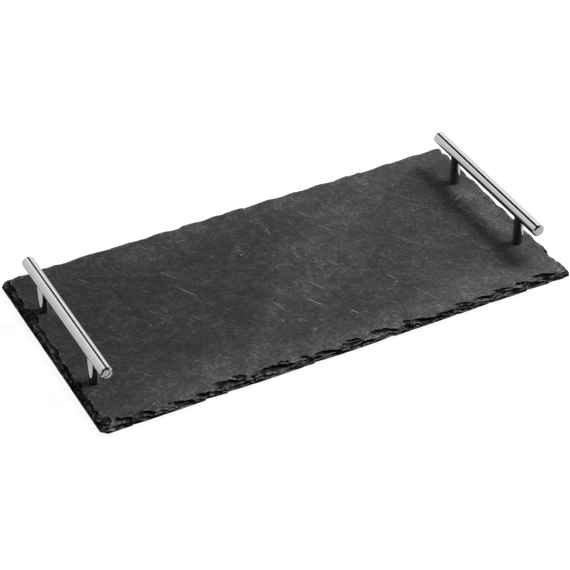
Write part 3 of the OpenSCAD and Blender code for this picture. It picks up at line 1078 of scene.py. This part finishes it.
for name, solid in nodes.items():
    if name.endswith(("_screws", "_washers", "_studs", "_anchors", "_foot")):
        finish = rubber if name.endswith("_foot") else plating
        solid.data.materials.clear()
        solid.data.materials.append(finish)
        print(name, "in", finish.name)

# %% [markdown]
# The floor is a plain pale sheet and the room a white dome. To the camera and to shiny
# metal both glow, so that they read as white. The rest of their light is real and weak,
# so the floor keeps the shadow.

# %% Floor and world
FLOOR_REACH = 8.0


def add_sheet(name, low, high):
    """A flat sheet between two opposite corners that share one coordinate. It is no piece."""
    first, second = [axis for axis in range(3) if low[axis] != high[axis]]
    corners = [list(low), list(low), list(high), list(low)]
    corners[1][first] = high[first]
    corners[3][second] = high[second]
    mesh = bpy.data.meshes.new(name)
    mesh.from_pydata(corners, [], [(0, 1, 2, 3)])
    sheet = bpy.data.objects.new(name, mesh)
    bpy.context.scene.collection.objects.link(sheet)
    return sheet


def bare_tree(owner):
    owner.use_nodes = True
    owner.node_tree.nodes.clear()
    return owner.node_tree


def finish_tree(net, kind, for_light, when_seen):
    """One shader for rays from the camera, shiny metal and glass, another for the rest."""
    path = add_node(net, "LightPath").outputs
    rays = [path["Is " + ray + " Ray"] for ray in ("Camera", "Glossy", "Transmission")]
    seen = add_math(net, "MAXIMUM", *rays)
    choice = add_node(net, "MixShader", {0: seen, 1: for_light.outputs[0], 2: when_seen.outputs[0]})
    add_node(net, kind, {"Surface": choice.outputs[0]})


floor = add_sheet("floor", (-FLOOR_REACH, -FLOOR_REACH, 0), (FLOOR_REACH, FLOOR_REACH, 0))
paper = bpy.data.materials.new("floor_paper")
net = bare_tree(paper)
matt = add_node(net, "BsdfDiffuse", {"Color": grey(0.80)})
half_matt = add_node(net, "BsdfDiffuse", {"Color": grey(0.10)})
camera_ray = add_node(net, "LightPath").outputs["Is Camera Ray"]
glow = add_node(net, "Emission", {"Strength": add_map(net, camera_ray, 0, 1, 0.55, 0.945)})
both = add_node(net, "AddShader", {0: half_matt.outputs[0], 1: glow.outputs[0]})
finish_tree(net, "OutputMaterial", matt, both)
floor.data.materials.append(paper)

world = bpy.data.worlds.new("studio")
bpy.context.scene.world = world
net = bare_tree(world)
soft = add_node(net, "Background", {"Color": grey(1.0), "Strength": 0.06})
white = add_node(net, "Background", {"Color": grey(1.0), "Strength": 1.0})
finish_tree(net, "OutputWorld", soft, white)
print("floor in metres:", 2 * FLOOR_REACH, "by", 2 * FLOOR_REACH)

# %% [markdown]
# One large soft lamp to the right and above darkens the stone towards the left and
# throws the shadows of the handles inwards. A weak one in front softens the near edge and
# is hidden from shiny surfaces, so that it draws no second highlight.

# %% Lamps
def soft_lamp(name, place, target, width, depth, power):
    light = bpy.data.lights.new(name, "AREA")
    light.shape = "RECTANGLE"
    light.size = width
    light.size_y = depth
    light.energy = power
    lamp = bpy.data.objects.new(name, light)
    bpy.context.scene.collection.objects.link(lamp)
    lamp.location = place
    lamp.rotation_mode = "QUATERNION"
    lamp.rotation_quaternion = (Vector(target) - Vector(place)).to_track_quat("-Z", "Y")
    lamp.visible_camera = False
    print(name, "watts:", power)
    return lamp


soft_lamp("key_lamp", (0.80, -0.13, 1.06), (0.02, -0.02, 0), 0.45, 0.48, 30.5)
front_lamp = soft_lamp("front_lamp", (0.25, -0.75, 0.55), (0, -0.05, 0), 0.5, 0.4, 2)
front_lamp.visible_glossy = False

# %% [markdown]
# Steel looks like what stands round it, so cards hang where it will mirror them, and only
# shiny surfaces see these. A black card behind and above draws the thin dark line along
# each handle, and a grey ceiling tones the tops down. A black wall and a flag behind the
# photographer, and a small card on the floor, darken the bevels of the caps. A light grey
# wall tones the left side of the tubes. All but this wall are black in a second mirror,
# which keeps steel dark where it mirrors steel.

# %% The cards
# each card: name, two opposite corners, its light in a first and in a second mirror
CARDS = (
    ("line_card", (-0.09, 0.3, 0.72), (0.40, 1.7, 0.72), 0.0, 0.0),
    ("ceiling", (-2.5, -1.25, 1.66), (2.5, 1.15, 1.66), 0.3, 0.0),
    ("camera_wall", (-7.0, -2.6, 0.7), (4.5, -2.6, 4.0), 0.0, 0.0),
    ("side_flag", (-5.0, -2.6, 0.1), (-1.6, -2.6, 0.7), 0.0, 0.0),
    ("corner_card", (-0.60, -0.50, 0.0005), (-0.206, -0.088, 0.0005), 0.0, 0.0),
    ("left_wall", (-1.8, -0.4, 0.02), (-1.8, 5, 2.4), 0.75, 0.75),
)
for name, low, high, first_mirror, second_mirror in CARDS:
    card = add_sheet(name, low, high)
    paint = bpy.data.materials.new(name)
    net = bare_tree(paint)
    mirrors = add_node(net, "LightPath").outputs["Glossy Depth"]
    strength = add_map(net, mirrors, 1, 2, first_mirror, second_mirror)
    light = add_node(net, "Emission", {"Strength": strength})
    add_node(net, "OutputMaterial", {"Surface": light.outputs[0]})
    card.data.materials.append(paint)
    for ray in ("camera", "diffuse", "shadow", "transmission"):
        setattr(card, "visible_" + ray, False)
print("cards:", len(CARDS))

# %% [markdown]
# The picture is shown without any film look.

# %% View
bpy.context.scene.view_settings.view_transform = "Standard"
